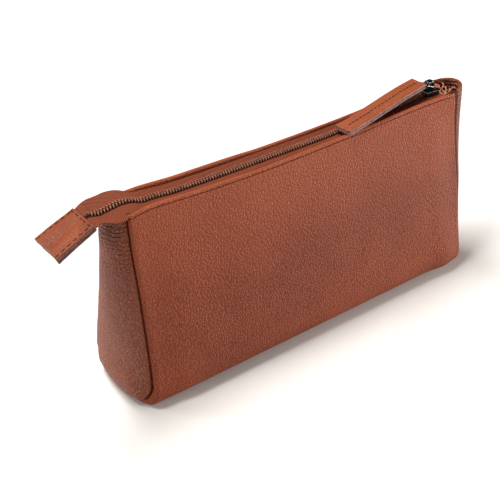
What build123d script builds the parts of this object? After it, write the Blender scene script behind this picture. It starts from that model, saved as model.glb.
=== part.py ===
from build123d import *
import math
import os

# Wedge-shaped leather zip pouch, in millimetres. X runs along the zip towards its closed end,
# -Y is the front, Z is up. The origin is the middle of the base, on the surface it rests on.

os.makedirs("parts", exist_ok=True)

# Bag
bag_length = 232.0          # from one end seam to the other
bag_height = 119.2          # resting surface to the folded top edges
mouth_half = 10.0           # zip centre line to the outer face of a hem, at its top edge
base_flat_half = 19.5       # half the width of the base that lies flat
foot_radius = 13.0          # rounding of the two long lower edges
wall_bow = 1.5              # how far the long walls bow outwards
gusset_bulge = 10.5         # how far the end pieces bow outwards from their seams
foot_tuck = 1.6             # how much less they bow at the foot
tuck_height = 6.0           # height over which that tuck fades
left_rim_drop = 3.8         # top edge of the left gusset below the hems
right_rim_drop = 0.6        # top edge of the right gusset below the hems
rim_depth = 6.0             # width of the folded rim on a gusset
wall_sections = 10          # level sections through a gusset above its foot

# Sheets
leather = 1.3
lining = 0.5
ply_gap = 0.1               # between two sheets that lie on each other
hem_round = 1.17            # rounding of the folded top edges
hem_depth = 9.0             # width of the folded hem
lining_drop = 4.6           # top edge of the lining below the hems

# Zip
tape_thickness = 0.6
tape_half_width = 12.5      # one tape, from the zip centre line to its outer edge
tape_inner = 1.8            # zip centre line to the inner edge of a tape
coil_half_width = 2.1       # one coil half, from the centre line to its back
coil_height = 1.7
coil_pitch = 1.25
coil_phase = 0.25           # share of the pitch by which each half is shifted, so the turns mesh
coil_tooth = 0.5            # width of one turn along the zip
coil_overlap = 0.5          # how far the turns reach past the centre line
coil_back = 0.7             # width of the continuous back of a coil half
coil_spread = 1.2           # how far a coil half steps aside behind the slider
coil_step_length = 3.6      # length over which it does
tape_drop = 1.7             # top face of the tapes below the hems
flap_hinge_half = 6.5       # zip centre line to the fold line of a zip half
running_gap = 0.3           # clearance between pieces that move past each other

# Slider
slider_length = 9.0
slider_rear_half = 3.6
slider_front_half = 4.6
slider_wall = 0.8
top_plate = 1.2
bottom_plate = 1.0
plate_round = 0.5
slider_rest_gap = 11.0      # slider centre to the right end seam, with the zip closed
slider_open_gap = 24.0      # slider centre to the left end seam, with the zip open
diamond_half = 0.9
diamond_length = 3.2
crown_height = 6.0
crown_half_width = 1.9
crown_leg = 1.2
crown_span = 6.8
crown_roof = 1.7
crown_round = 2.4           # rounding of its two upper ends
crown_edge_round = 1.2
lock_leaf = 0.3
lock_pin = 0.5

# Puller
link_bar_radius = 0.8
link_bar_rise = 2.3         # link bar centre above the slider's top plate
link_half_width = 3.1
link_rise = 2.6             # link bar to the strip's middle plane
link_reach = 6.6            # link bar to the near end of the strip
tongue_length = 8.0
tongue_half_width = 2.5
tongue_thickness = 0.8
strip_length = 70.0
strip_width = 11.5
strip_ply = 1.7
strip_corner = 1.0
strip_edge_round = 0.4
strip_yaw = 6.1             # the strip lies aslant over the front hem, degrees
strip_shift = 2.0           # middle of the strip off the middle of the link, towards the back
strip_free_gap = 0.35       # free end of the strip above the hem

# Zip tail and end tab
tail_hump = 2.4             # rise of the tail where it passes over the gusset
tail_flat = 6.0             # level stretch of the tail past the slider's open place
tail_crest_shift = 2.0      # hump's crest past the middle of the curved stretch
tail_end_lean = 17.6        # slope at the fold line of the tab, degrees
tail_reach = 15.0           # from the left end seam to the fold line of the tab
tail_end_rise = 1.0
tab_droop = 22.0            # degrees below level
tab_start = 3.4             # fold line to the near end of the leather
tab_length = 26.0
tab_half_width = 12.5
tab_ply = 1.5
tab_slot = 0.8
tab_round = 1.5
tab_tape_length = 22.0
tab_hinge_gap = 0.3         # each side of the tab's fold line

# Zip head
head_flat = 2.6             # level stretch of the tape past the slider
head_bend = 2.5
head_drop = 8.0             # length turned down into the bag
stop_length = 1.4
stop_wall = 0.4

# Stitching
thread_radius = 0.3
hem_stitch_pitch = 3.4
hem_stitch_drop = 2.2
stitch_length = 2.5
stitch_pitch = 3.3
tab_stitch_inset = 2.1
seat = 0.03                 # thread lies this far off the leather

# Levels and places that follow from the sizes above
half_length = bag_length / 2
tape_top = bag_height - tape_drop
tape_bottom = tape_top - tape_thickness
tape_middle = tape_top - tape_thickness / 2
coil_top = tape_top + coil_height
top_plate_low = coil_top + running_gap
top_plate_top = top_plate_low + top_plate
bottom_plate_top = tape_bottom - running_gap
slider_rest_x = half_length - slider_rest_gap
slider_open_x = slider_open_gap - half_length
flap_end_x = slider_rest_x - slider_length / 2 - 2 * running_gap
flap_start_x = slider_open_x + slider_length / 2 + 2 * running_gap
link_bar_z = top_plate_top + link_bar_rise
tab_fold_x = -half_length - tail_reach
tab_fold_z = tape_middle + tail_end_rise


def save(shape, name):
    """Writes one node."""
    shape.label = name
    export_step(shape, "parts/" + name + ".step")


def foot_normal():
    """Direction from the foot's centre to where the wall's chord touches the foot."""
    across = mouth_half - base_flat_half
    rise = bag_height - foot_radius
    swing = math.acos(foot_radius / math.hypot(across, rise))
    angle = math.atan2(rise, across) - swing
    return math.cos(angle), math.sin(angle)


def wall_points(low, high):
    """Lower end, middle and upper end of the wall, set in by low at the foot and high at the top."""
    across, up = foot_normal()
    reach = foot_radius - low
    start = (base_flat_half + reach * across, foot_radius + reach * up)
    top = (mouth_half - high / across, bag_height)
    middle = ((start[0] + top[0]) / 2 + wall_bow * across, (start[1] + top[1]) / 2 + wall_bow * up)
    return start, middle, top


def circle_through(a, b, c):
    """Centre and radius of the circle through three points."""
    ax, ay = a[0] - c[0], a[1] - c[1]
    bx, by = b[0] - c[0], b[1] - c[1]
    cross = 2 * (ax * by - ay * bx)
    a2, b2 = ax * ax + ay * ay, bx * bx + by * by
    centre = (c[0] + (by * a2 - ay * b2) / cross, c[1] + (ax * b2 - bx * a2) / cross)
    return centre, math.dist(centre, a)


def half_depth(z, inset=0.0):
    """Zip plane to the wall at height z, for a surface set in from the outside of the leather."""
    start, middle, top = wall_points(inset, inset)
    if z < start[1]:
        return base_flat_half + math.sqrt(max((foot_radius - inset) ** 2 - (foot_radius - z) ** 2, 0))
    centre, radius = circle_through(start, middle, top)
    return centre[0] + math.sqrt(radius ** 2 - (z - centre[1]) ** 2)


def half_section(x, low, high, side):
    """Base, foot and wall of one side of the bag's section, from the middle of the base up."""
    start, middle, top = wall_points(low, high)
    across, up = foot_normal()
    turn = (math.atan2(up, across) - math.pi / 2) / 2
    reach = foot_radius - low
    bend = (base_flat_half + reach * math.cos(turn), foot_radius + reach * math.sin(turn))

    def point(yz):
        return (x, side * yz[0], yz[1])

    return [
        Line((x, 0, low), point((base_flat_half, low))),
        ThreePointArc(point((base_flat_half, low)), point(bend), point(start)),
        ThreePointArc(point(start), point(middle), point(top)),
    ]


def wrap(low, high, thickness):
    """A sheet that runs down one wall, under the base and up the other wall."""
    x = -half_length
    edges = []
    for side in (-1, 1):
        outer = half_section(x, low, high, side)
        inner = half_section(x, low + thickness, high + thickness, side)
        edges += outer + inner
        edges.append(Line(outer[-1] @ 1, inner[-1] @ 1))
    return extrude(make_face(edges), amount=bag_length, dir=(1, 0, 0))


def slab(z_low, z_high):
    """Everything between two heights, for trimming."""
    size = 3 * bag_length
    return Pos(0, 0, (z_low + z_high) / 2) * Box(size, size, z_high - z_low)


def bulge_at(z):
    """How far a gusset stands out of its seam plane at height z."""
    return gusset_bulge - foot_tuck * math.exp(-z / tuck_height)


def crescent(side, z, inset, thickness):
    """Level section through a gusset: an arc from seam to seam, as thick as its sheet."""
    width = half_depth(z)
    bulge = bulge_at(z)
    radius = (width ** 2 + bulge ** 2) / (2 * bulge)
    edge_x = side * half_length
    ends = []
    edges = []
    for r in (radius - inset, radius - inset - thickness):
        half = math.sqrt(r ** 2 - (radius - bulge) ** 2)
        front = (edge_x, -half, z)
        back = (edge_x, half, z)
        crown = (edge_x + side * (r - radius + bulge), 0, z)
        edges.append(ThreePointArc(front, crown, back))
        ends.append((front, back))
    edges.append(Line(ends[0][0], ends[1][0]))
    edges.append(Line(ends[0][1], ends[1][1]))
    return make_face(edges)


def section_heights(z_low, z_high):
    """Heights of the sections through a gusset, which crowd where the foot turns."""
    foot = [foot_radius * (1 - math.cos(math.radians(angle))) for angle in (30, 45, 60, 75, 90)]
    step = (bag_height - foot_radius) / wall_sections
    wall = [foot_radius + step * index for index in range(1, wall_sections)]
    inside = [z for z in foot + wall if z_low + leather < z < z_high - leather]
    return [z_low] + inside + [z_high]


def gusset_sheet(side, inset, thickness, z_low, z_high):
    """A bowed end sheet between two heights."""
    sections = [crescent(side, z, inset, thickness) for z in section_heights(z_low, z_high)]
    return loft(sections, ruled=True)


def base_tongue(side, z, width, bulge, thickness):
    """Lens-shaped end of a base, from the seam plane out to the gusset's bowed lower edge."""
    edge_x = side * half_length
    front = (edge_x, -width, z)
    back = (edge_x, width, z)
    arc = ThreePointArc(front, (edge_x + side * bulge, 0, z), back)
    return extrude(make_face([arc, Line(front, back)]), amount=thickness, dir=(0, 0, 1))


def body_panel():
    """Front wall, base and back wall in one piece of leather, with both top edges folded in."""
    panel = wrap(0, 0, leather)
    fold = wrap(leather, leather, leather) & slab(bag_height - hem_depth, bag_height)
    panel = panel + fold
    top_edges = panel.edges().filter_by(Axis.X).filter_by(lambda e: e.center().Z > bag_height - 0.01)
    panel = fillet(top_edges, hem_round)
    for side in (-1, 1):
        panel = panel + base_tongue(side, 0, half_depth(leather / 2), bulge_at(leather), leather)
    return panel


def gusset(side, drop):
    """Bowed end piece with its top edge folded in."""
    top = bag_height - drop
    sheet = gusset_sheet(side, 0, leather, leather, top)
    rim = gusset_sheet(side, leather, leather, top - rim_depth, top)
    return sheet + rim


def gusset_lining(side, drop):
    """Fabric that lines a gusset, from the lined base to the lower edge of the rim."""
    inset = leather + ply_gap
    low = leather + 2 * ply_gap + lining
    return gusset_sheet(side, inset, lining, low, bag_height - drop - rim_depth - ply_gap)


def body_lining():
    """Fabric against the body panel, which passes behind the folded hems and the tapes."""
    low = leather + ply_gap
    high = 2 * leather + 3 * ply_gap + tape_thickness
    sheet = wrap(low, high, lining) & slab(0, bag_height - lining_drop)
    for side in (-1, 1):
        sheet = sheet + base_tongue(side, low, half_depth(low) - 2 * low, bulge_at(low) - low, lining)
    return sheet


def tape_margin(side):
    """Strip of a zip tape that is sewn between the hem and the lining."""
    inset = 2 * leather + ply_gap
    depth = tape_half_width - flap_hinge_half
    sheet = wrap(inset, inset, tape_thickness) & slab(tape_top - depth, tape_top - running_gap)
    return sheet & Pos(0, side * bag_length, 0) * Box(2 * bag_length, 2 * bag_length, 3 * bag_height)


def zip_tape(side):
    """Free strip of a zip tape, which folds down along the hem when the zip is open."""
    outer = flap_hinge_half - running_gap / 2
    length = flap_end_x - flap_start_x
    middle = ((flap_start_x + flap_end_x) / 2, side * (tape_inner + outer) / 2, tape_middle)
    return Pos(*middle) * Box(length, outer - tape_inner, tape_thickness)


def coil_outline(side, x_start, x_end, aside):
    """Comb outline of one coil half, seen from above. aside(x) is how far it steps from the centre."""
    phase = side * coil_phase
    back = coil_half_width
    root = coil_half_width - coil_back
    points = [(x_start, back + aside(x_start)), (x_start, root + aside(x_start))]
    index = math.ceil(x_start / coil_pitch + 0.5)
    while (index + phase) * coil_pitch + coil_tooth / 2 < x_end:
        centre = (index + phase) * coil_pitch
        shift = aside(centre)
        reach = -coil_overlap if shift == 0 else 0.0
        for x, y in ((-1, root), (-1, reach), (1, reach), (1, root)):
            points.append((centre + x * coil_tooth / 2, y + shift))
        index += 1
    points += [(x_end, root + aside(x_end)), (x_end, back + aside(x_end))]
    if aside(x_end) != aside(x_start):
        step_end = slider_rest_x + slider_length / 2 - diamond_length
        for x in (step_end, step_end - coil_step_length):
            points.append((x, back + aside(x)))
    return [(x, side * y) for x, y in points]


def comb(side, x_start, x_end, z_low, z_high, aside=lambda x: 0.0):
    """One coil half between two heights."""
    outline = Polyline(*[(x, y, z_low) for x, y in coil_outline(side, x_start, x_end, aside)], close=True)
    return extrude(make_face(outline), amount=z_high - z_low, dir=(0, 0, 1))


def head_step(x):
    """Step aside of a coil half inside and behind the slider, where the slider has parted the halves."""
    end = slider_rest_x + slider_length / 2 - diamond_length
    share = 1 + (x - end) / coil_step_length
    return coil_spread * min(max(share, 0.0), 1.0)


def tail_band(low, high, y_near, y_far):
    """A band that follows the zip tail over the gusset, between two heights above the tape's middle."""
    flat_x = slider_open_x - slider_length / 2 - tail_flat
    crest_x = (flat_x + tab_fold_x) / 2 - tail_crest_shift
    end_x = tab_fold_x + tab_hinge_gap
    lean = math.radians(tail_end_lean)

    def edge(offset):
        nodes = [
            (flat_x, y_near, tape_middle + offset),
            (crest_x, y_near, tape_middle + tail_hump + offset),
            (end_x + offset * math.sin(lean), y_near, tab_fold_z + offset),
        ]
        return Spline(*nodes, tangents=[(-1, 0, 0), (-math.cos(lean), 0, -math.sin(lean))])

    lower, upper = edge(low), edge(high)
    start = (flap_start_x - running_gap, y_near)
    lower_start = (*start, tape_middle + low)
    upper_start = (*start, tape_middle + high)
    edges = [
        lower, upper,
        Line(lower_start, lower @ 0), Line(upper_start, upper @ 0),
        Line(lower_start, upper_start), Line(lower @ 1, upper @ 1),
    ]
    return extrude(make_face(edges), amount=y_far - y_near, dir=(0, 1, 0))


def tape_reach_in_mouth():
    """Zip centre line to the edge of a level tape that stops short of the sewn margin."""
    return half_depth(tape_middle, 2 * leather) - tape_thickness - ply_gap


def tape_tail(side):
    """Tape from the folding part out over the left gusset to the fold line of the tab."""
    half = tape_thickness / 2
    near, far = sorted((side * tape_inner, side * tape_half_width))
    wide = tail_band(-half, half, near, far)
    beyond_seam = Pos(-half_length - running_gap - bag_length / 2, 0, bag_height)
    outside = wide & beyond_seam * Box(bag_length, bag_length, bag_height)
    near, far = sorted((side * tape_inner, side * tape_reach_in_mouth()))
    return outside + tail_band(-half, half, near, far)


def coil_tail(side):
    """Coil half on the tail: the straight comb cut to the tail's curve."""
    half = tape_thickness / 2
    spare = bag_height / 4
    teeth = comb(side, tab_fold_x, flap_start_x - running_gap, tape_bottom - spare, coil_top + spare)
    width = 2 * coil_half_width
    return teeth & tail_band(half, half + coil_height, -width, width)


def head_profile(low, high):
    """Side view of a band that runs on past the slider and turns down into the bag."""
    start_x = flap_end_x + running_gap
    bend_x = slider_rest_x + slider_length / 2 + head_flat
    centre_z = tape_middle - head_bend
    end_z = tape_middle - head_bend - head_drop
    edges = []
    for offset in (low, high):
        r = head_bend + offset
        slant = r * math.sqrt(0.5)
        edges.append(Line((start_x, 0, centre_z + r), (bend_x, 0, centre_z + r)))
        corner = (bend_x + slant, 0, centre_z + slant)
        edges.append(ThreePointArc((bend_x, 0, centre_z + r), corner, (bend_x + r, 0, centre_z)))
        edges.append(Line((bend_x + r, 0, centre_z), (bend_x + r, 0, end_z)))
    edges.append(Line((start_x, 0, centre_z + head_bend + low), (start_x, 0, centre_z + head_bend + high)))
    edges.append(Line((bend_x + head_bend + low, 0, end_z), (bend_x + head_bend + high, 0, end_z)))
    return make_face(edges)


def tape_head(side):
    """Tape end at the closed end of the zip, turned down into the bag."""
    half = tape_thickness / 2
    band = extrude(head_profile(-half, half), amount=tape_reach_in_mouth() - tape_inner, dir=(0, side, 0))
    return Pos(0, side * tape_inner, 0) * band


def coil_head(side):
    """Coil half inside the slider, parted from its partner, up to the top stop."""
    end = slider_rest_x + slider_length / 2 + running_gap
    return comb(side, flap_end_x + running_gap, end, tape_top, coil_top, head_step)


def top_stops():
    """Two metal stops clamped on the coil halves just behind the slider."""
    x = slider_rest_x + slider_length / 2 + 2 * running_gap + stop_length / 2
    stops = []
    for side in (-1, 1):
        y = side * (tape_inner - ply_gap - stop_wall + coil_half_width / 2)
        block = Box(stop_length, coil_half_width, coil_height + tape_thickness + 2 * stop_wall)
        slot = Box(2 * stop_length, coil_half_width, tape_thickness + ply_gap)
        slot = Pos(0, side * stop_wall, -coil_height / 2) * slot
        stops.append(Pos(x, y, (coil_top + tape_bottom) / 2) * (block - slot))
    return Compound(stops)


def slider_plan(rear, front, z, height):
    """Tapered outline of the slider, wider where the parted coils leave it."""
    back_x = slider_rest_x - slider_length / 2
    front_x = slider_rest_x + slider_length / 2
    corners = [(back_x, -rear), (front_x, -front), (front_x, front), (back_x, rear)]
    outline = Polyline(*[(x, y, z) for x, y in corners], close=True)
    return extrude(make_face(outline), amount=height, dir=(0, 0, 1))


def slider_body():
    """Two plates joined by the diamond that parts the coils, with walls that hold them together."""
    rear, front = slider_rear_half, slider_front_half
    top = slider_plan(rear, front, top_plate_low, top_plate)
    bottom = slider_plan(rear, front, bottom_plate_top - bottom_plate, bottom_plate)
    wall_low = tape_top + running_gap
    walls = slider_plan(rear, front, wall_low, top_plate_low - wall_low)
    channel = slider_plan(rear - slider_wall, front - slider_wall, wall_low, top_plate_low - wall_low)
    walls = walls - channel
    diamond_x = slider_rest_x + slider_length / 2 - diamond_length / 2
    diamond = Box(diamond_length, 2 * diamond_half, top_plate_low - bottom_plate_top)
    diamond = Pos(diamond_x, 0, (top_plate_low + bottom_plate_top) / 2) * diamond
    corner = fillet(top.edges().group_by(Axis.Z)[-1], plate_round)
    hole_x = slider_rest_x + crown_span / 2 - crown_leg - 2 * ply_gap - lock_pin / 2
    hole = Pos(hole_x, 0, top_plate_low) * Box(2 * lock_pin, 3 * lock_pin, 3 * top_plate)
    return (corner + bottom + walls + diamond) - hole


def slider_crown():
    """Arch on the slider's top plate that holds the puller link."""
    arch = Box(crown_span, 2 * crown_half_width, crown_height)
    arch = Pos(slider_rest_x, 0, top_plate_top + crown_height / 2) * arch
    arch = fillet(arch.edges().filter_by(Axis.Y).group_by(Axis.Z)[-1], crown_round)
    arch = fillet(arch.edges().group_by(Axis.Z)[-1], crown_edge_round)
    tunnel_height = crown_height - crown_roof
    tunnel = Box(crown_span - 2 * crown_leg, 4 * crown_half_width, tunnel_height)
    return arch - Pos(slider_rest_x, 0, top_plate_top + tunnel_height / 2) * tunnel


def lock_spring():
    """Leaf under the crown's roof, with the pin that stops the slider when the puller lies down."""
    span = crown_span - 2 * crown_leg - 2 * ply_gap
    leaf_z = top_plate_top + crown_height - crown_roof - lock_leaf / 2
    leaf = Pos(slider_rest_x, 0, leaf_z) * Box(span, crown_half_width, lock_leaf)
    pin_low = coil_top + running_gap / 2
    pin_x = slider_rest_x + span / 2 - lock_pin / 2
    pin = Pos(pin_x, 0, (pin_low + leaf_z) / 2) * Box(lock_pin, lock_pin, leaf_z - pin_low)
    return leaf + pin


def strip_pitch():
    """Slope of the strip from the link down to its free end on the front hem, in degrees."""
    near_z = link_bar_z + link_rise
    far_z = bag_height + strip_free_gap + strip_ply
    return math.degrees(math.asin((near_z - far_z) / strip_length))


def puller_place(shape):
    """Sets a puller piece, drawn along -X from the link bar, to where it lies on the bag."""
    place = Pos(slider_rest_x, 0, link_bar_z) * Rot(0, 0, strip_yaw)
    return place * shape


def strip_place(shape):
    """Sets a strip piece, drawn along -X from the near end of the strip's middle plane."""
    return puller_place(Pos(-link_reach, 0, link_rise) * Rot(0, -strip_pitch(), 0) * shape)


def puller_link():
    """Metal loop through the crown, with a flat tongue between the plies of the strip."""
    bar = Rot(90, 0, 0) * Cylinder(link_bar_radius, 2 * link_half_width)
    reach = link_reach - link_bar_radius
    slope = math.degrees(math.atan2(link_rise, reach))
    arm_length = math.hypot(link_rise, reach)
    arm = Pos(-arm_length / 2, 0, 0) * Rot(0, 90, 0) * Cylinder(link_bar_radius, arm_length)
    arm = Rot(0, slope, 0) * arm
    far_end = Pos(-reach, 0, link_rise)
    loop = bar + far_end * bar
    for side in (-1, 1):
        offset = Pos(0, side * link_half_width, 0)
        loop = loop + offset * arm + offset * Sphere(link_bar_radius)
        loop = loop + far_end * offset * Sphere(link_bar_radius)
    tongue = Box(tongue_length, 2 * tongue_half_width, tongue_thickness)
    tongue = Pos(-tongue_length / 2 + link_bar_radius, 0, 0) * tongue
    return puller_place(loop) + strip_place(tongue)


def strip_ply_solid(side):
    """One ply of the strip, with half of the pocket for the link's tongue."""
    middle = Pos(-strip_length / 2, strip_shift, side * strip_ply / 2)
    ply = middle * Box(strip_length, strip_width, strip_ply)
    ends = ply.edges().filter_by(Axis.Z).group_by(Axis.X)[0]
    ply = fillet(ends, strip_corner)
    outer = ply.faces().sort_by(Axis.Z)[-1 if side > 0 else 0]
    ply = fillet(outer.edges(), strip_edge_round)
    pocket = Box(tongue_length, 2 * (tongue_half_width + ply_gap), tongue_thickness + 2 * ply_gap)
    ply = ply - Pos(-tongue_length / 2 + link_bar_radius - ply_gap, 0, 0) * pocket
    return strip_place(ply)


def stitch_along_x(length):
    """One stitch, lying along X."""
    return Rot(0, 90, 0) * Cylinder(thread_radius, length)


def pull_stitching():
    """Stitches along the middle of the strip, on its upper face."""
    count = int((strip_length - 2 * stitch_pitch) / stitch_pitch)
    z = strip_ply + thread_radius + seat
    stitches = []
    for index in range(count):
        x = -strip_length / 2 + (index - (count - 1) / 2) * stitch_pitch
        stitches.append(strip_place(Pos(x, strip_shift, z) * stitch_along_x(stitch_length)))
    return Compound(stitches)


def tab_place(shape):
    """Sets a tab piece, drawn along -X from the tab's fold line."""
    return Pos(tab_fold_x, 0, tab_fold_z) * Rot(0, -tab_droop, 0) * shape


def end_tab():
    """Leather folded round the end of the zip tail."""
    height = 2 * tab_ply + tab_slot
    block = Pos(-tab_start - tab_length / 2, 0, 0) * Box(tab_length, 2 * tab_half_width, height)
    block = fillet(block.edges().filter_by(Axis.Y).group_by(Axis.X)[0], tab_round)
    slot_length = tab_tape_length + 2 * ply_gap
    slot = Box(slot_length, 3 * tab_half_width, tab_slot)
    block = block - Pos(-slot_length / 2 - tab_start, 0, 0) * slot
    return tab_place(block)


def tab_tape_ends():
    """The ends of both tapes, held inside the tab."""
    ends = []
    length = tab_start + tab_tape_length - tab_hinge_gap
    for side in (-1, 1):
        tape = Box(length, tape_half_width - tape_inner, tape_thickness)
        middle = side * (tape_inner + tape_half_width) / 2
        ends.append(tab_place(Pos(-tab_hinge_gap - length / 2, middle, 0) * tape))
    return Compound(ends)


def tab_stitching():
    """Stitches along both long sides of the tab and across its near end."""
    z = tab_ply + tab_slot / 2 + thread_radius + seat
    stitches = []
    along = int((tab_length - tab_stitch_inset) / stitch_pitch)
    for side in (-1, 1):
        for index in range(along):
            x = -tab_start - tab_stitch_inset - (index + 0.5) * stitch_pitch
            y = side * (tab_half_width - tab_stitch_inset)
            stitches.append(tab_place(Pos(x, y, z) * stitch_along_x(stitch_length)))
    across = int(2 * (tab_half_width - tab_stitch_inset) / stitch_pitch)
    for index in range(across):
        y = (index - (across - 1) / 2) * stitch_pitch
        bar = Pos(-tab_start - tab_stitch_inset, y, z) * Rot(0, 0, 90) * stitch_along_x(stitch_length)
        stitches.append(tab_place(bar))
    return Compound(stitches)


def hem_stitching(side):
    """Row of stitches along a hem, on the outside of the wall."""
    z = bag_height - hem_stitch_drop
    y = half_depth(z) + thread_radius + seat
    count = int((bag_length - hem_stitch_pitch) / hem_stitch_pitch)
    stitches = []
    for index in range(count):
        x = (index - (count - 1) / 2) * hem_stitch_pitch
        stitches.append(Pos(x, side * y, z) * stitch_along_x(stitch_length))
    return Compound(stitches)


save(body_panel(), "body_panel")
save(body_lining(), "body_lining")
save(gusset(-1, left_rim_drop), "left_gusset")
save(gusset(1, right_rim_drop), "right_gusset")
save(gusset_lining(-1, left_rim_drop), "left_gusset_lining")
save(gusset_lining(1, right_rim_drop), "right_gusset_lining")

for side, where in ((-1, "front"), (1, "back")):
    save(hem_stitching(side), where + "_hem_stitching")
    save(tape_margin(side), where + "_tape_margin")
    save(zip_tape(side), where + "_zip_tape")
    save(comb(side, flap_start_x, flap_end_x, tape_top, coil_top), where + "_coil")
    save(tape_tail(side), where + "_tape_tail")
    save(coil_tail(side), where + "_coil_tail")
    save(tape_head(side), where + "_tape_head")
    save(coil_head(side), where + "_coil_head")

save(top_stops(), "top_stops")
save(slider_body(), "slider_body")
save(slider_crown(), "slider_crown")
save(lock_spring(), "lock_spring")
save(puller_link(), "puller_link")
save(strip_ply_solid(1), "pull_upper_ply")
save(strip_ply_solid(-1), "pull_lower_ply")
save(pull_stitching(), "pull_stitching")
save(end_tab(), "end_tab")
save(tab_tape_ends(), "tab_tape_ends")
save(tab_stitching(), "tab_stitching")
print("nodes written:", len(os.listdir("parts")))
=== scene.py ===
import math
import random

import bmesh
import bpy
from mathutils import Matrix, Vector, noise


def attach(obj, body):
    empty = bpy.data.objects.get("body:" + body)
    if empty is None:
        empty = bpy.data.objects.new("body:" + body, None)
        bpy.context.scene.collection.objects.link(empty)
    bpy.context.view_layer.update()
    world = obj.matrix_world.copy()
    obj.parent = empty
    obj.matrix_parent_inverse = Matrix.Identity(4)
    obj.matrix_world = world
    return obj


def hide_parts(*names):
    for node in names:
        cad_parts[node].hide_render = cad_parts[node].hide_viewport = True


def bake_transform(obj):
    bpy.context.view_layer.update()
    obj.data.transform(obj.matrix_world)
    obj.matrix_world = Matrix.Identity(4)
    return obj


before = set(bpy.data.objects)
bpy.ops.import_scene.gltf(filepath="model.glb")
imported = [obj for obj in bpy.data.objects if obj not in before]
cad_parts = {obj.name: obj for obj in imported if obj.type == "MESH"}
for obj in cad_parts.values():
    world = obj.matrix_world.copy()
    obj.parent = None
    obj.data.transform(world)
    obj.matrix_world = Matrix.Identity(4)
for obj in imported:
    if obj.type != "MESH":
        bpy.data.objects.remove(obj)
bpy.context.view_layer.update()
print("frame loaded")

mm = 0.001


def smooth(t):
    t = min(max(t, 0.0), 1.0)
    return t * t * (3 - 2 * t)


def lerp(a, b, t):
    return a + (b - a) * t


def swell(x, middle, spread):  # a soft bump, 1 at its middle
    return math.exp(-((x - middle) / spread) ** 2)


def softLine(*points):  # smooth curve through (x, value) pairs
    last = len(points) - 1
    slopes = []
    for i in range(last + 1):
        a, b = points[max(i - 1, 0)], points[min(i + 1, last)]
        slopes.append((b[1] - a[1]) / (b[0] - a[0]))

    def at(x):
        x = min(max(x, points[0][0]), points[last][0])
        i = 0
        while i < last - 1 and points[i + 1][0] < x:
            i += 1
        (x0, y0), (x1, y1) = points[i], points[i + 1]
        h = x1 - x0
        t = (x - x0) / h
        return ((2 * t ** 3 - 3 * t ** 2 + 1) * y0 + (t ** 3 - 2 * t ** 2 + t) * h * slopes[i]
                + (3 * t ** 2 - 2 * t ** 3) * y1 + (t ** 3 - t ** 2) * h * slopes[i + 1])

    return at


def steps(a, b, count):
    return [lerp(a, b, i / (count - 1)) for i in range(count)]


def arc(a, b, count):  # (degrees, cosine, sine) at even steps
    return [(t, math.cos(math.radians(t)), math.sin(math.radians(t))) for t in steps(a, b, count)]


def wobble(x, y, z, size, seed):  # slow random unevenness of a soft sheet
    return noise.noise(Vector((x / size + seed, y / size, z / size)))


def ripples(x, y, z, waves):  # unevenness of several sizes; each wave has a height, a size and a seed
    return sum(high * wobble(x, y, z, size, seed) for high, size, seed in waves)


def addObject(name, bm, materials):
    bmesh.ops.recalc_face_normals(bm, faces=bm.faces)
    data = bpy.data.meshes.new(name)
    bm.to_mesh(data)
    bm.free()
    piece = bpy.data.objects.new(name, data)
    bpy.context.collection.objects.link(piece)
    for material in materials:
        data.materials.append(material)
    return piece


def gridPiece(name, rows, materials, loop=False, weld=0.0, caps=False, paint=None):
    # quads between rows of points, with a flat map in millimetres for woven surfaces;
    # paint gives the index of the material for the face at a row and column
    bm = bmesh.new()
    flat = bm.loops.layers.uv.new("flat")
    verts = [[bm.verts.new(Vector(p) * mm) for p in row] for row in rows]
    across = len(rows[0]) - (0 if loop else 1)
    along = [0.0]
    for a, b in zip(rows, rows[1:]):
        middle = len(a) // 2
        along.append(along[-1] + (Vector(a[middle]) - Vector(b[middle])).length)
    for i in range(len(rows) - 1):
        for j in range(across):
            k = (j + 1) % len(rows[0])
            face = bm.faces.new((verts[i][j], verts[i][k], verts[i + 1][k], verts[i + 1][j]))
            face.smooth = True
            face.material_index = paint(i, j) if paint else 0
            corners = ((i, j), (i, j + 1), (i + 1, j + 1), (i + 1, j))
            for corner, (r, c) in zip(face.loops, corners):
                width = (Vector(rows[r][0]) - Vector(rows[r][min(c, len(rows[0]) - 1)])).length
                corner[flat].uv = (along[r], width)
    if caps:
        for row in (verts[0], verts[-1]):
            bm.faces.new(row).smooth = True
    if weld:
        bmesh.ops.remove_doubles(bm, verts=bm.verts, dist=weld * mm)
    return addObject(name, bm, materials)


def thicken(piece, thickness):  # half to each side of the mesh
    shell = piece.modifiers.new("thickness", "SOLIDIFY")
    shell.thickness = thickness * mm
    shell.offset = 0.0
    shell.use_quality_normals = True
    return piece


def tubeMesh(bm, path, radius, material=0):  # a thread or wire along a list of points
    sides = 6
    rings = []
    side = Vector((0, 0, 1))
    for i, point in enumerate(path):
        ahead = Vector(path[min(i + 1, len(path) - 1)]) - Vector(path[max(i - 1, 0)])
        ahead.normalize()
        side = side - ahead * side.dot(ahead)
        if side.length < 1e-4:
            side = ahead.orthogonal()
        side.normalize()
        other = ahead.cross(side)
        ring = []
        for k in range(sides):
            a = 2 * math.pi * k / sides
            offset = (side * math.cos(a) + other * math.sin(a)) * radius
            ring.append(bm.verts.new((Vector(point) + offset) * mm))
        rings.append(ring)
    faces = [bm.faces.new(rings[0]), bm.faces.new(rings[-1])]
    for a, b in zip(rings, rings[1:]):
        for k in range(sides):
            faces.append(bm.faces.new((a[k], a[(k + 1) % sides], b[(k + 1) % sides], b[k])))
    for face in faces:
        face.smooth = True
        face.material_index = material


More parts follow.
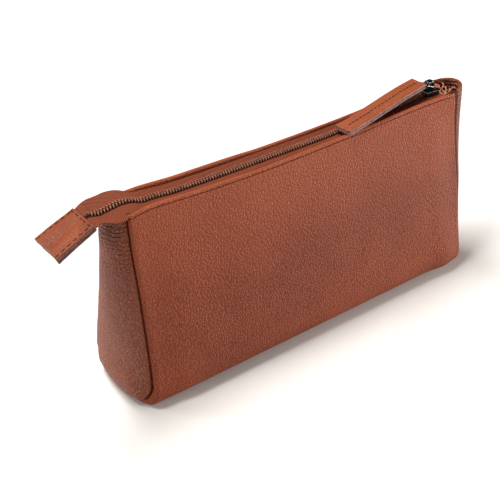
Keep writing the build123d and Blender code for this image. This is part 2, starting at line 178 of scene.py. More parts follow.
# the photograph's viewing angle
camera = {
    "azimuth": 36.86,  # degrees to the left of the front
    "elevation": 34.77,
    "roll": 0.2,
    "distance": 589.8,
    "target": (-31.9, 0.0, 56.4),
    "lens": 72.45,  # on a sensor of 36 mm
}


def addCamera(c):
    az, el, roll = (math.radians(c[k]) for k in ("azimuth", "elevation", "roll"))
    back = Vector((-math.sin(az) * math.cos(el), -math.cos(az) * math.cos(el), math.sin(el)))
    right = Vector((math.cos(az), -math.sin(az), 0))
    up = back.cross(right)
    turned = right * math.cos(roll) + up * math.sin(roll)
    up = up * math.cos(roll) - right * math.sin(roll)
    data = bpy.data.cameras.new("camera")
    data.lens = c["lens"]
    data.clip_start = 0.01
    made = bpy.data.objects.new("camera", data)
    bpy.context.collection.objects.link(made)
    place = Matrix.Translation((Vector(c["target"]) + back * c["distance"]) * mm)
    made.matrix_world = place @ Matrix((turned, up, back)).transposed().to_4x4()
    bpy.context.scene.camera = made


addCamera(camera)
print("camera placed")


def plug(tree, socket, value):  # a link from another node, or a plain value
    if isinstance(value, bpy.types.NodeSocket):
        tree.links.new(value, socket)
    else:
        socket.default_value = value


def node(tree, kind, inputs=None, **settings):
    made = tree.nodes.new("ShaderNode" + kind)
    for key, value in settings.items():
        setattr(made, key, value)
    for key, value in (inputs or {}).items():
        plug(tree, made.inputs[key], value)
    return made


def mixColour(tree, factor, a, b):
    return node(tree, "Mix", {0: factor, 6: a, 7: b}, data_type="RGBA").outputs[2]


def remap(tree, value, low, high, toLow=0.0, toHigh=1.0):
    ends = {"Value": value, "From Min": low, "From Max": high, "To Min": toLow, "To Max": toHigh}
    return node(tree, "MapRange", ends, interpolation_type="SMOOTHSTEP").outputs["Result"]


def spots(tree, place, scale, detail=2.0, rough=0.5):
    look = {"Vector": place, "Scale": scale, "Detail": detail, "Roughness": rough}
    return node(tree, "TexNoise", look).outputs


def math2(tree, operation, a, b):
    return node(tree, "Math", {0: a, 1: b}, operation=operation).outputs[0]


def rgb(r, g, b):  # colour as seen on screen, 0 to 255
    def linear(v):
        v /= 255
        return v / 12.92 if v <= 0.04045 else ((v + 0.055) / 1.055) ** 2.4
    return (linear(r), linear(g), linear(b), 1)


def addGroup(name, inputs, outputs):  # an input of None is a vector, the other inputs are numbers
    tree = bpy.data.node_groups.new(name, "ShaderNodeTree")
    for label, value in inputs.items():
        kind = "NodeSocketVector" if value is None else "NodeSocketFloat"
        socket = tree.interface.new_socket(label, in_out="INPUT", socket_type=kind)
        if value is not None:
            socket.default_value = value
    for label in outputs:
        tree.interface.new_socket(label, in_out="OUTPUT", socket_type="NodeSocketFloat")
    start = tree.nodes.new("NodeGroupInput")
    end = tree.nodes.new("NodeGroupOutput")
    return tree, start.outputs, end.inputs


def pebbleGrain():  # pebbled leather: cells, creases between them, pores and slow patches
    tree, start, end = addGroup("pebble grain", {"Place": None, "Cells": 620.0, "Patch": 22.0},
                                ("Height", "Crease", "Patches", "Pebble Highlight"))
    place = start["Place"]
    bend = spots(tree, place, 300.0)["Color"]
    bend = node(tree, "VectorMath", {0: bend, 1: (0.0014, 0.0014, 0.0014)}, operation="MULTIPLY").outputs[0]
    bent = node(tree, "VectorMath", {0: place, 1: bend}, operation="ADD").outputs[0]
    bent = node(tree, "Mapping", {"Vector": bent, "Scale": (1.0, 1.0, 0.9)}).outputs[0]
    pebbles = {"Vector": bent, "Scale": start["Cells"]}
    edges = node(tree, "TexVoronoi", pebbles, feature="DISTANCE_TO_EDGE").outputs["Distance"]
    cells = node(tree, "TexVoronoi", pebbles, feature="SMOOTH_F1").outputs["Distance"]
    pores = spots(tree, place, 2600.0, 3.0)["Fac"]
    patches = spots(tree, place, start["Patch"], 4.0, 0.62)["Fac"]
    crease = remap(tree, edges, 0.0, 0.3)
    dome = remap(tree, cells, 0.0, 0.75, 1.0, 0.0)
    height = math2(tree, "MULTIPLY", crease, 0.6)
    height = math2(tree, "ADD", height, math2(tree, "MULTIPLY", dome, 0.6))
    height = math2(tree, "ADD", height, math2(tree, "MULTIPLY", pores, 0.2))
    plug(tree, end["Height"], height)
    plug(tree, end["Crease"], crease)
    plug(tree, end["Patches"], remap(tree, patches, 0.3, 0.7))
    plug(tree, end["Pebble Highlight"], remap(tree, cells, 0.1, 0.5, 1.0, 0.0))
    return tree


def twillWeave():  # diagonal ribs of a woven tape, on a flat map in millimetres
    tree, start, end = addGroup("twill weave", {"Map": None, "Ribs": 0.32}, ("Height", "Thread"))
    turned = node(tree, "Mapping", {"Vector": start["Map"], "Rotation": (0, 0, math.radians(127))})
    ribs = node(tree, "TexWave", {"Vector": turned.outputs[0], "Scale": start["Ribs"], "Distortion": 1.2,
                                  "Detail": 2.0, "Detail Scale": 2.0}, wave_type="BANDS", bands_direction="X")
    yarn = spots(tree, start["Map"], 3.0, 3.0)["Fac"]
    height = math2(tree, "ADD", ribs.outputs["Fac"], math2(tree, "MULTIPLY", yarn, 0.5))
    plug(tree, end["Height"], height)
    plug(tree, end["Thread"], remap(tree, height, 0.3, 1.2))
    return tree


grain = pebbleGrain()
twill = twillWeave()


def material(name):
    made = bpy.data.materials.new(name)
    made.use_nodes = True
    tree = made.node_tree
    return made, tree, tree.nodes["Principled BSDF"]


def dress(tree, shader, looks, height, bump, depth):  # the shader's own values, and a bump from the height
    for label, value in looks.items():
        plug(tree, shader.inputs[label], value)
    raised = node(tree, "Bump", {"Height": height, "Strength": bump, "Distance": depth * mm})
    plug(tree, shader.inputs["Normal"], raised.outputs["Normal"])


def wrinkles(tree, place, level, low, high):  # fine level folds that fade out below a height
    waves = node(tree, "TexWave", {"Vector": place, "Scale": 120.0, "Distortion": 5.0, "Detail": 2.0,
                                   "Detail Scale": 1.6}, wave_type="BANDS", bands_direction="Z")
    return math2(tree, "MULTIPLY", waves.outputs["Fac"], remap(tree, level, low * mm, high * mm, 0.0, 0.9))


def leatherMaterial(name, v):
    made, tree, shader = material(name)
    place = node(tree, "TexCoord").outputs["Object"]
    level = node(tree, "SeparateXYZ", {"Vector": place}).outputs["Z"]
    out = node(tree, "Group", {"Place": place, "Cells": v["cells"], "Patch": v["patch"]},
               node_tree=grain).outputs
    height = out["Height"]
    if v["wrinkled"]:
        height = math2(tree, "ADD", height, wrinkles(tree, place, level, *v["wrinkled"]))
    base = mixColour(tree, out["Patches"], v["deep"], v["bright"])
    # painted shade in the creases between pebbles and painted highlight on their middles
    creased = mixColour(tree, v["creaseShade"], base, v["crease"])
    colour = mixColour(tree, out["Crease"], creased, base)
    colour = mixColour(tree, math2(tree, "MULTIPLY", out["Pebble Highlight"], v["pebbleHighlight"]), colour, v["light"])
    # painted light: the colour turns paler and warmer with height
    paintedLightShare = remap(tree, level, v["paintedLightFrom"] * mm, v["paintedLightTo"] * mm, 0.0, v["paintedLight"])
    dress(tree, shader, {
        "Base Color": mixColour(tree, paintedLightShare, colour, v["paintedLightColour"]),
        "Roughness": remap(tree, out["Height"], 0.2, 1.5, v["roughHigh"], v["roughLow"]),
        "Specular IOR Level": v["specular"],
    }, height, v["bump"], v["depth"])
    return made


bodyLeather = {
    "deep": rgb(142, 63, 34), "bright": rgb(164, 77, 42), "crease": rgb(108, 42, 20),
    "light": rgb(190, 98, 58),  # the middle of each pebble, painted lighter as highlight
    "paintedLightColour": rgb(198, 98, 54), "paintedLight": 0.34,  # painted light: paler and warmer towards the top, where more light falls on the upper wall
    "paintedLightFrom": 48, "paintedLightTo": 120,  # heights
    "cells": 720.0, "patch": 20.0, "creaseShade": 0.62, "pebbleHighlight": 0.18,
    "roughLow": 0.46, "roughHigh": 0.62, "specular": 0.3, "bump": 1.0, "depth": 0.42,
    "wrinkled": None,  # or the heights between which fine folds come in
}
leather = leatherMaterial("pebbled leather", bodyLeather)
# painted shade: dark leather for the shade in the stitch groove, beside the end seams and on the tape's edge
# under the hem
paintedSeamShade = leatherMaterial("leather painted as seam shade", dict(
    bodyLeather, paintedLight=0.0, specular=0.1,
    deep=rgb(58, 22, 12), bright=rgb(76, 30, 16), light=rgb(92, 40, 24)))
gussetLeather = leatherMaterial("end piece leather", dict(
    bodyLeather, paintedLight=0.1, wrinkled=(74, 112), creaseShade=0.7, pebbleHighlight=0.22,
    deep=rgb(160, 75, 45), bright=rgb(184, 93, 57), light=rgb(214, 134, 98),
    specular=0.5, roughLow=0.38, roughHigh=0.56, depth=1.3))
pullLeather = leatherMaterial("pull leather", dict(
    bodyLeather, paintedLight=0.0, cells=950.0, creaseShade=0.5, depth=0.2,
    deep=rgb(150, 72, 40), bright=rgb(176, 90, 50), light=rgb(200, 118, 74), roughLow=0.36, roughHigh=0.52))
tabLeather = leatherMaterial("tab leather", dict(
    bodyLeather, paintedLight=0.0, patch=60.0, cells=950.0, creaseShade=0.5, depth=0.2,
    deep=rgb(130, 61, 33), bright=rgb(162, 83, 47), light=rgb(184, 110, 70), roughLow=0.34, roughHigh=0.5))


def mottledMaterial(name, v):  # two tones in fine spots, for paint, nylon and metal
    made, tree, shader = material(name)
    place = node(tree, "TexCoord").outputs["Object"]
    fine = spots(tree, place, v["scale"], v["detail"])["Fac"]
    rough = v["rough"]
    if v["wear"]:
        rough = remap(tree, fine, 0.3, 0.7, rough, rough + v["wear"])
    dress(tree, shader, {
        "Base Color": mixColour(tree, remap(tree, fine, *v["spots"]), v["dark"], v["light"]),
        "Roughness": rough, "Specular IOR Level": v["specular"],
        "Metallic": v["metallic"], "Coat Weight": v["coat"],
    }, fine, v["bump"], v["depth"])
    return made


edgePaint = {
    "dark": rgb(70, 44, 38), "light": rgb(122, 88, 78),
    "scale": 520.0, "detail": 3.0, "spots": (0.35, 0.65),
    "rough": 0.46, "wear": 0.0, "specular": 0.5, "metallic": 0.0, "coat": 0.0, "bump": 0.35, "depth": 0.18,
}
nylon = dict(edgePaint, dark=rgb(128, 70, 48), light=rgb(188, 124, 94), scale=900.0, detail=2.0,
             spots=(0.3, 0.7), rough=0.34, bump=0.15, depth=0.1)
enamel = dict(edgePaint, dark=rgb(10, 11, 11), light=rgb(30, 31, 29), scale=700.0, detail=4.0,
              spots=(0.45, 0.75), rough=0.16, wear=0.15, metallic=0.3, coat=0.5, bump=0.1, depth=0.05)
tabEdge = mottledMaterial("painted tab edge", edgePaint)
pullEdge = mottledMaterial("painted pull edge", dict(edgePaint, dark=rgb(98, 60, 50), light=rgb(146, 102, 88)))
nylonCoil = mottledMaterial("nylon coil", nylon)
# a real filler cord, coloured dark as painted shade between the turns; also the painted shade on the back runs
# of the turns
cordAndCoilShade = mottledMaterial("filler cord and painted coil shade", dict(
    nylon, dark=rgb(30, 12, 8), light=rgb(50, 22, 14), rough=0.8, specular=0.2))
blackMetal = mottledMaterial("black enamelled metal", enamel)
springSteel = mottledMaterial("spring steel", dict(
    enamel, dark=rgb(120, 118, 114), light=rgb(170, 168, 164), rough=0.3, metallic=1.0))


tapeCloth = {
    "dark": rgb(72, 28, 15), "light": rgb(164, 80, 46),
    "shade": rgb(52, 24, 16), "shadeEnds": (1.3, 2.1),  # below the coil, from the inner edge
    "ribs": 0.32, "rough": 0.72, "specular": 0.3, "bump": 0.7, "depth": 0.3,
}


def tapeMaterial(v):
    made, tree, shader = material("woven tape")
    flat = node(tree, "UVMap", uv_map="flat").outputs["UV"]
    out = node(tree, "Group", {"Map": flat, "Ribs": v["ribs"]}, node_tree=twill).outputs
    across = node(tree, "SeparateXYZ", {"Vector": flat}).outputs["Y"]
    colour = mixColour(tree, out["Thread"], v["dark"], v["light"])
    colour = mixColour(tree, remap(tree, across, *v["shadeEnds"], 1.0, 0.0), colour, v["shade"])
    dress(tree, shader, {"Base Color": colour, "Roughness": v["rough"], "Specular IOR Level": v["specular"]},
          out["Height"], v["bump"], v["depth"])
    return made


def threadMaterial(name, dark, light):
    made, tree, shader = material(name)
    place = node(tree, "TexCoord").outputs["Object"]
    strands = node(tree, "TexWave", {"Vector": place, "Scale": 900.0, "Distortion": 2.0},
                   bands_direction="DIAGONAL").outputs["Fac"]
    dress(tree, shader, {"Base Color": mixColour(tree, strands, dark, light), "Roughness": 0.7,
                         "Specular IOR Level": 0.15}, strands, 0.4, 0.1)
    return made


liningFibres = {
    "dark": rgb(60, 42, 32), "light": rgb(98, 74, 56), "patch": rgb(74, 52, 38),
    "fibres": 1800.0, "patches": 30.0, "rough": 0.85, "bump": 0.4, "depth": 0.15,
}


def clothMaterial(v):
    made, tree, shader = material("lining cloth")
    place = node(tree, "TexCoord").outputs["Object"]
    fibres = spots(tree, place, v["fibres"], 4.0)["Fac"]
    patches = spots(tree, place, v["patches"])["Fac"]
    colour = mixColour(tree, fibres, v["dark"], v["light"])
    colour = mixColour(tree, remap(tree, patches, 0.3, 0.7, 0.0, 0.4), colour, v["patch"])
    dress(tree, shader, {"Base Color": colour, "Roughness": v["rough"]}, fibres, v["bump"], v["depth"])
    return made


wovenTape = tapeMaterial(tapeCloth)
hemThread = threadMaterial("hem thread", rgb(40, 17, 11), rgb(70, 34, 22))
darkThread = threadMaterial("dark thread", rgb(40, 19, 14), rgb(78, 40, 27))
tanThread = threadMaterial("loose tan thread", rgb(176, 104, 72), rgb(232, 168, 130))
liningCloth = clothMaterial(liningFibres)
print("materials made")


# the body panel is one piece of leather: front wall, base and back wall, with both top edges folded in
body = {
    "seamX": 116.0,
    "leather": 1.15,
    "hemFold": 0.6,  # radius of the folded top edge, at the middle of the leather
    "hemTaper": 9.0,  # length over which the fold flattens towards a corner
    "hemDepth": 9.0,
    "footFlat": 19.5,  # half the part of the base that lies flat
    "footRadius": 13.0,
    "footTuck": 0.15,  # how far a wall's lower edge lies inside the widest line of the foot
    "wallFoot": 15.0,  # height where the wall meets the rounded foot
    "waves": ((1.1, 62, 3.1), (0.4, 21, 7.7)),  # unevenness of the walls
    "cornerFull": 2.2,  # the lower corner at the closed end is this much fuller
    "cornerX": 105,
    "cornerSpread": 9,
    "stitchDrop": 2.0,  # stitch line below the top edge
    "stitchGroove": 0.4,
    "grooveSpread": 0.3,
    "puffs": ((0.12, 1.5, 0.35), (0.15, 2.9, 0.7)),  # swellings beside the stitches: height, drop, spread
    "hemDrops": [1.3, 1.5, 1.7, 1.85, 2.0, 2.15, 2.3, 2.55, 3.0, 3.9, 5.2, 6.9, 8.9],  # close mesh lines
    "grooveColumns": (17, 18, 19, 20, 21),  # faces of a section that lie in the stitch groove, painted dark as its shade
    "rollTurn": 128,  # degrees that the panel turns at the end seams
    "seamPull": 2.0,  # how far the seam pulls the wall in
    "seamPullFrom": 94,  # and where that starts, with the length over which it grows
    "seamPullOver": 21,
    "plainX": 98.0,  # beyond this the panel stretches to its rounded ends
}
frontTop = softLine((-118, 118.3), (-112, 119.1), (-100, 119.3), (-84, 117.9), (-66, 116.7), (-28, 115.7),
                    (19, 116.3), (60, 117.7), (107, 119.7), (118, 118.9))
backTop = softLine((-118, 118.6), (-108, 119.3), (-97.6, 119.7), (-79, 118.75), (-59.5, 118.4), (-39.4, 117.9),
                   (-18.6, 117.05), (3, 116.95), (25, 117.05), (49, 117.45), (75, 118.3), (107, 119.3),
                   (118, 119.0))
mouthHalf = softLine((-118, 11.8), (-100, 10.3), (-55, 9.3), (40, 9.2), (90, 10.2), (118, 12.2))
bow = softLine((-118, 1.2), (-60, 3.2), (0, 4.4), (60, 3.6), (118, 1.2))
# along half a section: 0 is the top of the wall, 1 its foot, 2 the flat base, 3 the middle of the base
rollRadius = softLine((0, 1.2), (0.75, 1.4), (1.0, 1.9), (1.5, 2.8), (2.0, 2.6), (2.5, 2.2), (3, 2.2))
reach = {  # how far the panel reaches past an end seam: left or right end, front or back
    (-1, -1): softLine((0, 0.4), (0.6, 0.6), (0.9, 1.2), (1.2, 2.8), (1.6, 4.8), (2.0, 6.4), (2.5, 8.8),
                       (3, 9.6)),
    (-1, 1): softLine((0, 0.4), (0.5, 1.0), (0.68, 2.2), (0.76, 3.4), (0.85, 4.8), (0.93, 5.0), (1.0, 4.4),
                      (1.3, 2.8), (1.6, 3.2), (2.0, 5.4), (2.5, 8.8), (3, 9.6)),
    (1, -1): softLine((0, 0.6), (0.5, 0.9), (0.8, 1.8), (1.0, 3.0), (1.5, 5.4), (2.0, 7.6), (2.5, 9.4),
                      (3, 10.2)),
}
reach[1, 1] = reach[1, -1]


def wallTop(x, side):
    return frontTop(x) if side < 0 else backTop(x)


def wallHeight(x, side):
    return wallTop(x, side) - body["wallFoot"]


def wallPoint(x, side, t):  # outer surface of a wall, from its top (t = 0) to its foot (t = 1)
    y = lerp(mouthHalf(x), body["footFlat"] + body["footRadius"] - body["footTuck"], t)
    z = lerp(wallTop(x, side), body["wallFoot"], t)
    y += bow(x) * 4 * t * (1 - t)
    uneven = ripples(x, side * 40, z, body["waves"])
    return y + uneven * smooth(t * 5) * smooth((1 - t) * 4), z


def hemFold(x):
    return body["hemFold"] * lerp(0.3, 1.0, smooth((body["seamX"] + 1 - abs(x)) / body["hemTaper"]))


def halfSection(x, side):
    # (along, y, z, inward y, inward z) on the middle of the leather, from inside the hem round to mid base
    out = []
    half = body["leather"] / 2
    fold = hemFold(x)
    y1, z1 = wallPoint(x, side, 0.1)
    lean = Vector((mouthHalf(x) - y1, wallTop(x, side) - z1)).normalized()
    inward = Vector((-lean.y, lean.x))  # y, z, towards the zip
    crest = Vector((mouthHalf(x), wallTop(x, side))) + (inward - lean) * (half + fold)
    for drop in steps(body["hemDepth"], 0.6, 6):
        p = crest + inward * fold - lean * drop
        out.append((0.0, p.x, p.y, inward.x, inward.y))
    for _, c, s in arc(0, 180, 9):
        p = crest + inward * fold * c + lean * fold * s
        out.append((0.0, p.x, p.y, inward.x, inward.y))
    height = wallHeight(x, side)
    full = body["cornerFull"] * swell(x, body["cornerX"], body["cornerSpread"])
    for drop in body["hemDrops"] + steps(11, height, 34):
        t = drop / height
        y, z = wallPoint(x, side, t)
        y2, z2 = wallPoint(x, side, min(t + 0.01, 1.0))
        y1, z1 = wallPoint(x, side, t - 0.01)
        n = Vector((z2 - z1, y1 - y2)).normalized()
        if n.x > 0:
            n = -n
        groove = body["stitchGroove"] * swell(drop, body["stitchDrop"], body["grooveSpread"])
        puff = sum(high * swell(drop, place, spread) for high, place, spread in body["puffs"])
        deep = half + groove - puff - full * smooth((t - 0.7) / 0.3)
        out.append((t, y + n.x * deep, z + n.y * deep, n.x, n.y))
    r = body["footRadius"] - half
    for turn, c, s in arc(8, 90, 12)[1:]:
        y = body["footFlat"] + full * smooth(2 - turn / 45) + r * c
        out.append((1 + turn / 90, y, body["footRadius"] - r * s, -c, s))
    for share in steps(0, 1, 10)[1:]:
        lift = 0.5 * smooth(share * 1.6) * (0.5 + 0.5 * wobble(x, side * 9, 0, 40, 1.3))
        out.append((2 + share, body["footFlat"] * (1 - share), half + lift, 0.0, 1.0))
    return [(q, side * y, z, side * ny, nz) for q, y, z, ny, nz in out]


def section(x):
    return halfSection(x, -1) + halfSection(x, 1)[-2::-1]


def pulledIn(x, q):  # near the end seams the wall is drawn in
    near = smooth((abs(x) - body["seamPullFrom"]) / body["seamPullOver"])
    return body["seamPull"] * near * smooth(q / 0.25) * smooth((1.7 - q) / 0.7)


def panelStation(x, turn=None):
    # one row of the panel; turn is the angle of the rounded end, in degrees
    end = -1 if x < 0 else 1
    row = []
    for q, y, z, ny, nz in section(max(min(x, body["seamX"]), -body["seamX"])):
        r = rollRadius(q)
        stop = body["seamX"] + reach[end, -1 if y < 0 else 1](q) - r
        if turn is None:
            share = max(abs(x) - body["plainX"], 0) / (body["seamX"] - body["plainX"])
            place = end * (abs(x) if share == 0 else lerp(body["plainX"], stop, share))
            inset = pulledIn(x, q)
        else:
            a = math.radians(turn)
            place = end * (stop + r * math.sin(a))
            inset = pulledIn(x, q) + r * (1 - math.cos(a))
        row.append((place, y + ny * inset, z + nz * inset))
    return row


def bodyPanel():
    turns = steps(0, body["rollTurn"], 10)[1:]
    rows = [panelStation(-body["seamX"], turn) for turn in reversed(turns)]
    rows += [panelStation(x) for x in steps(-body["seamX"], body["seamX"], 117)]
    rows += [panelStation(body["seamX"], turn) for turn in turns]
    last = len(rows[0]) - 2
    piece = gridPiece("leatherBody", rows, [leather, paintedSeamShade],
                      paint=lambda i, j: int(min(j, last - j) in body["grooveColumns"]))
    return thicken(piece, body["leather"])


leatherBody = bodyPanel()
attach(leatherBody, "bag")
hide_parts("body_panel")
print("body panel made")


# end pieces, sewn to the panel's rounded ends and bowed out between them
gusset = {
    "rimFold": 0.55,
    "rimDepth": 6.0,
    "rimCorner": 117.6,  # height of the rim at the seams
    "rimMiddle": {-1: 115.2, 1: 118.9},  # and at its middle, at the left and right end
    "rimFrom": 70,  # above this height the lines bend with the rim
    "spineLow": 28.0,  # where the lines from mid base meet the middle
    "spineFoot": 37.0,  # where the lines from the foot of a wall meet it
    "spineHigh": 62.0,  # the lines above this run level
    "waves": ((1.0, 34, 5.0), (0.35, 12, 8.0)),
    "seamDepth": 1.0,  # how deep the seam lies behind the panel's rounded end
    "seamFaces": {-1: 2, 1: 3},  # faces of a line, from the seam, that lie in its shade
    "square": 0.85,  # below 1, the piece turns out more sharply beside the seam
    "footSquare": 0.6,
}
gussetOut = {
    -1: softLine((0, 129.8), (5, 130.4), (12, 129.6), (25, 127.4), (60, 126.8), (90, 126.2), (116, 125.8)),
    1: softLine((0, 127.4), (8, 127.9), (27, 127.2), (43, 127.8), (60, 129.3), (75, 129.6), (100, 130.6),
                (121, 131.2)),
}


def spineHeight(q, z):  # where the line from this point of the seam meets the middle of the piece
    low, high = gusset["spineFoot"], gusset["spineHigh"]
    if q > 1:
        return lerp(low, gusset["spineLow"], (q - 1) / 2)
    if z < high:
        return lerp(low, high, (z - body["wallFoot"]) / (high - body["wallFoot"]))
    return z


def gussetRows(end, inset=0.0, topDrop=0.0):
    # lines from the seam to the middle of the end piece, one for each point along the seam
    seam = panelStation(end * body["seamX"], body["rollTurn"])
    along = [s[0] for s in section(end * body["seamX"])]
    corner = gusset["rimCorner"] - topDrop
    climb = gusset["rimMiddle"][end] - gusset["rimCorner"]
    points = [(q, p) for q, p in zip(along, seam) if q > 0 and p[2] < corner - 0.5]
    ends = [(q, (p[0], p[1], corner)) for q, p in (points[0], points[-1])]
    rows = []
    for q, (x, y, z) in [ends[0]] + points + [ends[1]]:
        middle = spineHeight(q, z)
        row = []
        for _, c, rise in arc(0, 90, 17):
            k = 1 - c
            zk = lerp(z, middle, k)
            zk += smooth((z - gusset["rimFrom"]) / (corner - gusset["rimFrom"])) * climb * rise
            uneven = ripples(end * 50, y * (1 - k), zk, gusset["waves"])
            out = gussetOut[end](zk) - inset + uneven * rise * smooth((corner + 4 - zk) / 12)
            start = abs(x) - gusset["seamDepth"] - inset * 0.4
            yk = (y - math.copysign(inset, y) * (abs(y) > 6)) * (1 - k)
            square = lerp(gusset["square"], gusset["footSquare"], smooth(q - 1))
            row.append((end * lerp(start, out, rise ** square), yk, zk))
        rows.append(row)
    return rows


def closeAcross(rows):
    # joins each line with its partner behind, so that a row runs from the front seam to the back seam
    count = len(rows)
    return [rows[i] + rows[count - 1 - i][-2::-1] for i in range(count // 2 + 1)]


def rimRows(end, top):
    # the top row folded over towards the inside and down
    rows = []
    fold = gusset["rimFold"]
    last = len(top) - 1
    inward = []
    for i in range(last + 1):
        ahead = Vector(top[min(i + 1, last)]) - Vector(top[max(i - 1, 0)])
        n = Vector((-ahead.y, ahead.x, 0)).normalized()
        inward.append(n if n.x * end < 0 else -n)
    for _, c, s in arc(18, 180, 8):
        up = Vector((0, 0, fold * s))
        rows.append([tuple(Vector(p) + n * fold * (1 - c) + up) for p, n in zip(top, inward)])
    for drop in steps(1.0, gusset["rimDepth"], 5):
        rows.append([tuple(Vector(p) + n * fold * 2 - Vector((0, 0, drop))) for p, n in zip(top, inward)])
    return rows


def gussetPiece(name, end, nodeName):
    rows = closeAcross(gussetRows(end))
    rows = rimRows(end, rows[0])[::-1] + rows
    last = len(rows[0]) - 2
    piece = gridPiece(name, rows, [gussetLeather, paintedSeamShade], weld=0.02,
                      paint=lambda i, j: int(min(j, last - j) < gusset["seamFaces"][end]))
    thicken(piece, body["leather"])
    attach(piece, "bag")
    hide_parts(nodeName)


gussetPiece("leftGusset", -1, "left_gusset")
gussetPiece("rightGusset", 1, "right_gusset")
print("gussets made")


lining = {
    "inset": 1.85,  # from the outside of the leather
    "hemInset": 3.35,
    "gussetInset": 1.6,
    "thickness": 0.5,
    "drop": 4.6,
    "rimGap": 0.5,  # below the folded rim of a gusset
    "half": 114.5,  # half its length
}


def liningRow(x):
    row = []
    r = body["footRadius"] - lining["inset"]
    for side in (-1, 1):
        half = []
        height = wallHeight(x, side)
        for drop in [lining["drop"], 6, 7.5, 9, 10.5, 12.5, 15] + steps(20, height, 20):
            y, z = wallPoint(x, side, drop / height)
            inset = lerp(lining["hemInset"], lining["inset"], smooth((drop - 8.5) / 5))
            half.append((x, side * (y - inset - pulledIn(x, drop / height)), z))
        for turn, c, s in arc(8, 90, 8)[1:]:
            y = body["footFlat"] + r * c - pulledIn(x, 1 + turn / 90)
            half.append((x, side * y, body["footRadius"] - r * s))
        for share in steps(0, 1, 6)[1:]:
            half.append((x, side * body["footFlat"] * (1 - share), lining["inset"] + 0.35 * share))
        row += half if side < 0 else half[-2::-1]
    return row


def liningPiece(name, rows, nodeName, weld=0.0):
    piece = thicken(gridPiece(name, rows, [liningCloth], weld=weld), lining["thickness"])
    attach(piece, "bag")
    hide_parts(nodeName)
    return piece


rows = [liningRow(x) for x in steps(-lining["half"], lining["half"], 60)]
made = liningPiece("bodyLining", rows, "body_lining")
for end, word in ((-1, "left"), (1, "right")):
    rows = closeAcross(gussetRows(end, lining["gussetInset"], gusset["rimDepth"] + lining["rimGap"]))
    made = liningPiece(word + "GussetLining", rows, word + "_gusset_lining", weld=0.02)
print("lining made")


# zip tapes, sewn under the hems; past the left end they run out as the tail
zipper = {
    "tapeThickness": 0.55,
    "tapeColumns": 15,  # points of the mesh across a tape
    "inner": 0.35,  # zip centre line to the inner edge of a tape
    "coilLift": 2.0,  # middle of the tape to the top of the coil
    "splitLeft": -60.0,  # the zip's pieces meet here
    "splitRight": 73.0,
    "foldStart": -86.9,  # the folding part of the zip, as in the solids
    "foldEnd": 99.9,
    "foldInner": 1.8,
    "foldOuter": 7.4,
    "hemShade": -106,  # right of this, the outer column of a tape lies in the shade of the hem
    "tuckStart": -126.5,  # left of this, the tapes take on the slope of the end tab
    "tuckOver": 9,
    "tuckHalf": 12.2,  # and are no wider than this to each side
    "tailEnd": -129.5,
    "neckEnd": -140.0,
    "coilStart": -133.2,
    "coilEnd": 109.5,
    "parted": 1.25,  # the slider has parted the halves at the closed end
    "partStart": 101.5,
    "partOver": 4.5,
}
headBend = {"x": 111.6, "radius": 2.5, "drop": 8.0}  # the tapes turn down into the bag
tab = {
    "near": (-135.2, 0.0, 118.1),  # middle of the tab at the zip, and at its far end
    "far": (-157.9, 0.0, 107.45),
    "length": 25,
    "width": 25.0,
    "height": 3.8,
    "nearTwist": 0.112,  # the tab lies a little higher on its front side
    "farTwist": 0.044,
    "arch": 0.2,  # along its length
    "crown": 0.35,  # across each half of its upper face
    "valley": 0.9,  # in the middle, between the halves
    "valleySpread": 0.24,  # as a share of half the width
    "groove": 0.22,  # along the stitches
    "grooveSpread": 0.5,
    "round": 0.45,
    "dip": 1.1,  # the far edge draws in beside its middle
    "dipPlace": -1.5,
    "dipSpread": 4,
    "steep": 0.6,  # faces that turn up less than this are painted edge
    "stitchInset": 2.1,
    "stitchRadius": 0.32,
    "sideStitches": {"count": 6, "start": 3.9, "pitch": 3.8, "length": 3.0},
    "nearStitches": {"count": 5, "start": 1.7, "pitch": 4.6, "length": 3.1},
}
chainTop = softLine((-142, 116.5), (-136, 118.5), (-131, 118.8), (-126.4, 120.0), (-121.8, 120.6),
                    (-115.9, 121.3), (-110, 120.8), (-103, 118.3), (-97, 117.9), (-91, 117.4), (-84, 116.7),
                    (-61, 116.1), (-22, 115.8), (26, 115.7), (58, 116.8), (82, 118.2), (98, 119.1),
                    (112, 119.2))
edgeStart = ((-97, 7.8), (-50, 6.95), (40, 6.85), (90, 7.85), (118, 9.6))
tapeEdge = {  # centre line to a tape's outer edge
    -1: softLine((-142, 12.5), (-122, 12.8), (-118.5, 12.4), (-116, 11.2), (-113, 9.9), (-108, 8.6),
                 (-103, 8.0), *edgeStart),
    1: softLine((-142, 12.6), (-119, 13.0), (-113, 12.8), (-109, 11.0), (-105, 9.0), (-100, 8.2), *edgeStart),
}
edgeRise = {  # how far a tape's outer edge lies above its inner edge
    -1: softLine((-142, 2.0), (-135, 3.0), (-131, 2.6), (-127, 0.9), (-123, -1.2), (-119, -1.9), (-114, -1.4),
                 (-108, -0.3), (-103, 0.2), (-95, 0.4), (112, 0.3)),
    1: softLine((-142, 2.4), (-135, 2.9), (-131, 2.8), (-125, 1.8), (-119, 1.4), (-113, 0.9), (-108, 1.3),
                (-103, 1.9), (-95, 1.8), (-50, 1.8), (40, 1.7), (112, 0.8)),
}
halves = ((-1, "front"), (1, "back"))
leftRamp = 1 / (zipper["splitLeft"] - zipper["foldStart"])
rightRamp = -1 / (zipper["foldEnd"] - zipper["splitRight"])


def tabTwist(s):
    return -lerp(tab["nearTwist"], tab["farTwist"], min(max(s, 0.0), 1.0))


def parting(x):
    return zipper["parted"] * smooth((x - zipper["partStart"]) / zipper["partOver"])


